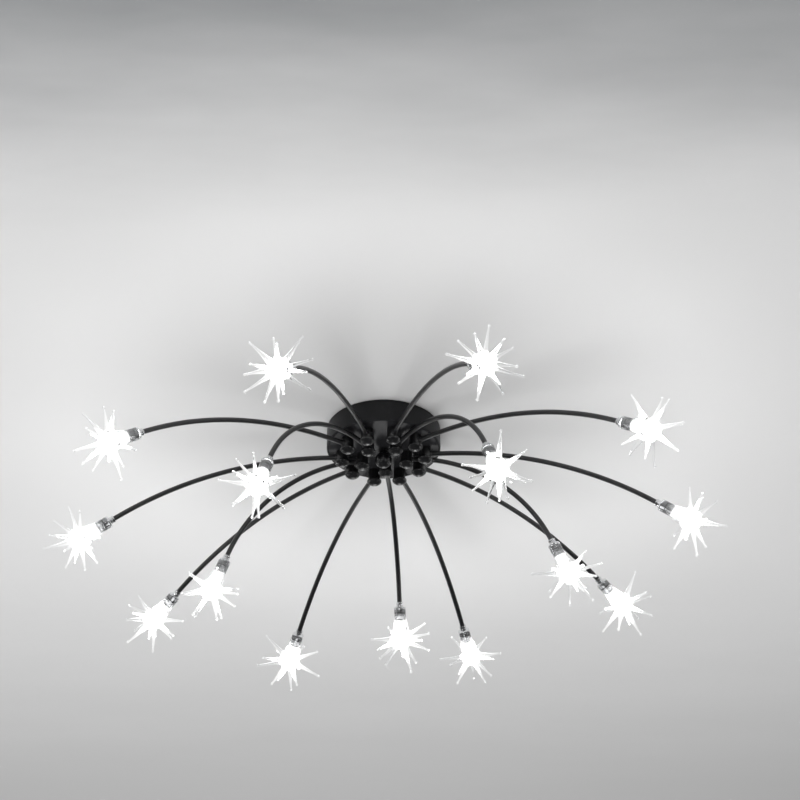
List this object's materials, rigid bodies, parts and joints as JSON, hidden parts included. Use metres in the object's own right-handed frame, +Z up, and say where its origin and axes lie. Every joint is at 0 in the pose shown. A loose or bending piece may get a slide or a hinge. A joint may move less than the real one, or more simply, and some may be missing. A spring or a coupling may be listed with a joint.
{
  "type": "ceiling light",
  "caption": "Ceiling light: a drum canopy carries curved arms on swivel hubs, each ending in a lamp socket with a pull-off spiked glass star shade",
  "frame": {"origin": "centre of the canopy on the ceiling plane, between the two ceiling screws", "axes": "+Z up towards the ceiling, +X along the crossbar, -Y towards the viewer of the picture"},
  "size_m": [0.82, 0.7885, 0.2212],
  "materials": {
    "canopy_paint": "satin black",
    "arm_paint": "satin black",
    "socket_chrome": "polished",
    "star_glass": "clear",
    "zinc_steel": "zinc plated",
    "brass_thread": "machined",
    "black_fibre": "matte",
    "driver_case": "moulded",
    "terminal_plastic": "moulded",
    "lead_sleeve": "smooth sleeve"
  },
  "bodies": {
    "canopy_frame": {"canopy": "canopy_paint", "crossbar": "zinc_steel", "small_screws": "zinc_steel", "centre_rod": "zinc_steel", "rod_nut": "zinc_steel", "centre_finial": "arm_paint", "nipples": "brass_thread", "nipple_washers": "zinc_steel", "nipple_lock_nuts": "brass_thread", "friction_washers": "black_fibre", "hub_retainers": "brass_thread", "led_driver": "driver_case", "terminal_block": "terminal_plastic", "mains_leads": "lead_sleeve", "wiring_loom": "lead_sleeve"},
    "arm_01": {"arm_01": "arm_paint", "lamp_socket_01": "socket_chrome"},
    "star_01": {"star_shade_01": "star_glass"},
    "arm_02": {"arm_02": "arm_paint", "lamp_socket_02": "socket_chrome"},
    "star_02": {"star_shade_02": "star_glass"},
    "arm_03": {"arm_03": "arm_paint", "lamp_socket_03": "socket_chrome"},
    "star_03": {"star_shade_03": "star_glass"},
    "arm_04": {"arm_04": "arm_paint", "lamp_socket_04": "socket_chrome"},
    "star_04": {"star_shade_04": "star_glass"},
    "arm_05": {"arm_05": "arm_paint", "lamp_socket_05": "socket_chrome"},
    "star_05": {"star_shade_05": "star_glass"},
    "arm_06": {"arm_06": "arm_paint", "lamp_socket_06": "socket_chrome"},
    "star_06": {"star_shade_06": "star_glass"},
    "arm_07": {"arm_07": "arm_paint", "lamp_socket_07": "socket_chrome"},
    "star_07": {"star_shade_07": "star_glass"},
    "arm_08": {"arm_08": "arm_paint", "lamp_socket_08": "socket_chrome"},
    "star_08": {"star_shade_08": "star_glass"},
    "arm_09": {"arm_09": "arm_paint", "lamp_socket_09": "socket_chrome"},
    "star_09": {"star_shade_09": "star_glass"},
    "arm_10": {"arm_10": "arm_paint", "lamp_socket_10": "socket_chrome"},
    "star_10": {"star_shade_10": "star_glass"},
    "arm_11": {"arm_11": "arm_paint", "lamp_socket_11": "socket_chrome"},
    "star_11": {"star_shade_11": "star_glass"},
    "arm_12": {"arm_12": "arm_paint", "lamp_socket_12": "socket_chrome"},
    "star_12": {"star_shade_12": "star_glass"},
    "arm_13": {"arm_13": "arm_paint", "lamp_socket_13": "socket_chrome"},
    "star_13": {"star_shade_13": "star_glass"},
    "arm_14": {"arm_14": "arm_paint", "lamp_socket_14": "socket_chrome"},
    "star_14": {"star_shade_14": "star_glass"},
    "arm_15": {"arm_15": "arm_paint", "lamp_socket_15": "socket_chrome"},
    "star_15": {"star_shade_15": "star_glass"}
  },
  "joints": [
    {"name": "arm_01_swivel", "type": "hinge", "parent": "canopy_frame", "child": "arm_01", "pos_m": [0.05084, -0.004, -0.0295], "axis": [0, 0, 1], "range_deg": [-11, 9]},
    {"name": "star_01_pull", "type": "slide", "parent": "arm_01", "child": "star_01", "axis": [0.8285, -0.0507, -0.5577], "range_m": [0, 0.045]},
    {"name": "arm_02_swivel", "type": "hinge", "parent": "canopy_frame", "child": "arm_02", "pos_m": [0.04349, 0.02665, -0.0295], "axis": [0, 0, 1], "range_deg": [-13, 7]},
    {"name": "star_02_pull", "type": "slide", "parent": "arm_02", "child": "star_02", "axis": [0.6939, 0.4769, -0.5395], "range_m": [0, 0.045]},
    {"name": "arm_03_swivel", "type": "hinge", "parent": "canopy_frame", "child": "arm_03", "pos_m": [0.01952, 0.04712, -0.0295], "axis": [0, 0, 1], "range_deg": [-15, 5]},
    {"name": "star_03_pull", "type": "slide", "parent": "arm_03", "child": "star_03", "axis": [0.2518, 0.7985, -0.5468], "range_m": [0, 0.045]},
    {"name": "arm_04_swivel", "type": "hinge", "parent": "canopy_frame", "child": "arm_04", "pos_m": [-0.01191, 0.04959, -0.0295], "axis": [0, 0, 1], "range_deg": [-18, 2]},
    {"name": "star_04_pull", "type": "slide", "parent": "arm_04", "child": "star_04", "axis": [-0.2997, 0.7608, -0.5757], "range_m": [0, 0.045]},
    {"name": "arm_05_swivel", "type": "hinge", "parent": "canopy_frame", "child": "arm_05", "pos_m": [-0.03878, 0.03312, -0.0295], "axis": [0, 0, 1], "range_deg": [-15.5, 4.5]},
    {"name": "star_05_pull", "type": "slide", "parent": "arm_05", "child": "star_05", "axis": [-0.6635, 0.4646, -0.5864], "range_m": [0, 0.045]},
    {"name": "arm_06_swivel", "type": "hinge", "parent": "canopy_frame", "child": "arm_06", "pos_m": [-0.05084, 0.004, -0.0295], "axis": [0, 0, 1], "range_deg": [-10.5, 9.5]},
    {"name": "star_06_pull", "type": "slide", "parent": "arm_06", "child": "star_06", "axis": [-0.8328, 0.0582, -0.5505], "range_m": [0, 0.045]},
    {"name": "arm_07_swivel", "type": "hinge", "parent": "canopy_frame", "child": "arm_07", "pos_m": [-0.04349, -0.02665, -0.0295], "axis": [0, 0, 1], "range_deg": [-12.5, 7.5]},
    {"name": "star_07_pull", "type": "slide", "parent": "arm_07", "child": "star_07", "axis": [-0.6861, -0.4628, -0.5614], "range_m": [0, 0.045]},
    {"name": "arm_08_swivel", "type": "hinge", "parent": "canopy_frame", "child": "arm_08", "pos_m": [-0.01952, -0.04712, -0.0295], "axis": [0, 0, 1], "range_deg": [-16, 4]},
    {"name": "star_08_pull", "type": "slide", "parent": "arm_08", "child": "star_08", "axis": [-0.235, -0.7935, -0.5614], "range_m": [0, 0.045]},
    {"name": "arm_09_swivel", "type": "hinge", "parent": "canopy_frame", "child": "arm_09", "pos_m": [0.01191, -0.04959, -0.0295], "axis": [0, 0, 1], "range_deg": [-14.5, 5.5]},
    {"name": "star_09_pull", "type": "slide", "parent": "arm_09", "child": "star_09", "axis": [0.2587, -0.7963, -0.5468], "range_m": [0, 0.045]},
    {"name": "arm_10_swivel", "type": "hinge", "parent": "canopy_frame", "child": "arm_10", "pos_m": [0.03878, -0.03312, -0.0295], "axis": [0, 0, 1], "range_deg": [-15.5, 4.5]},
    {"name": "star_10_pull", "type": "slide", "parent": "arm_10", "child": "star_10", "axis": [0.6897, -0.4829, -0.5395], "range_m": [0, 0.045]},
    {"name": "arm_11_swivel", "type": "hinge", "parent": "canopy_frame", "child": "arm_11", "pos_m": [0.02771, 0.00665, -0.0295], "axis": [0, 0, 1], "range_deg": [-8.5, 11.5]},
    {"name": "star_11_pull", "type": "slide", "parent": "arm_11", "child": "star_11", "axis": [0.4203, 0.0893, -0.903], "range_m": [0, 0.045]},
    {"name": "arm_12_swivel", "type": "hinge", "parent": "canopy_frame", "child": "arm_12", "pos_m": [0.00224, 0.02841, -0.0295], "axis": [0, 0, 1], "range_deg": [-9, 11]},
    {"name": "star_12_pull", "type": "slide", "parent": "arm_12", "child": "star_12", "axis": [0.0412, 0.4277, -0.903], "range_m": [0, 0.045]},
    {"name": "arm_13_swivel", "type": "hinge", "parent": "canopy_frame", "child": "arm_13", "pos_m": [-0.02633, 0.01091, -0.0295], "axis": [0, 0, 1], "range_deg": [-11.5, 8.5]},
    {"name": "star_13_pull", "type": "slide", "parent": "arm_13", "child": "star_13", "axis": [-0.3753, 0.144, -0.9157], "range_m": [0, 0.045]},
    {"name": "arm_14_swivel", "type": "hinge", "parent": "canopy_frame", "child": "arm_14", "pos_m": [-0.01851, -0.02167, -0.0295], "axis": [0, 0, 1], "range_deg": [-12, 8]},
    {"name": "star_14_pull", "type": "slide", "parent": "arm_14", "child": "star_14", "axis": [-0.2427, -0.3052, -0.9208], "range_m": [0, 0.045]},
    {"name": "arm_15_swivel", "type": "hinge", "parent": "canopy_frame", "child": "arm_15", "pos_m": [0.01489, -0.0243, -0.0295], "axis": [0, 0, 1], "range_deg": [-13, 7]},
    {"name": "star_15_pull", "type": "slide", "parent": "arm_15", "child": "star_15", "axis": [0.2479, -0.3606, -0.8992], "range_m": [0, 0.045]}
  ]
}
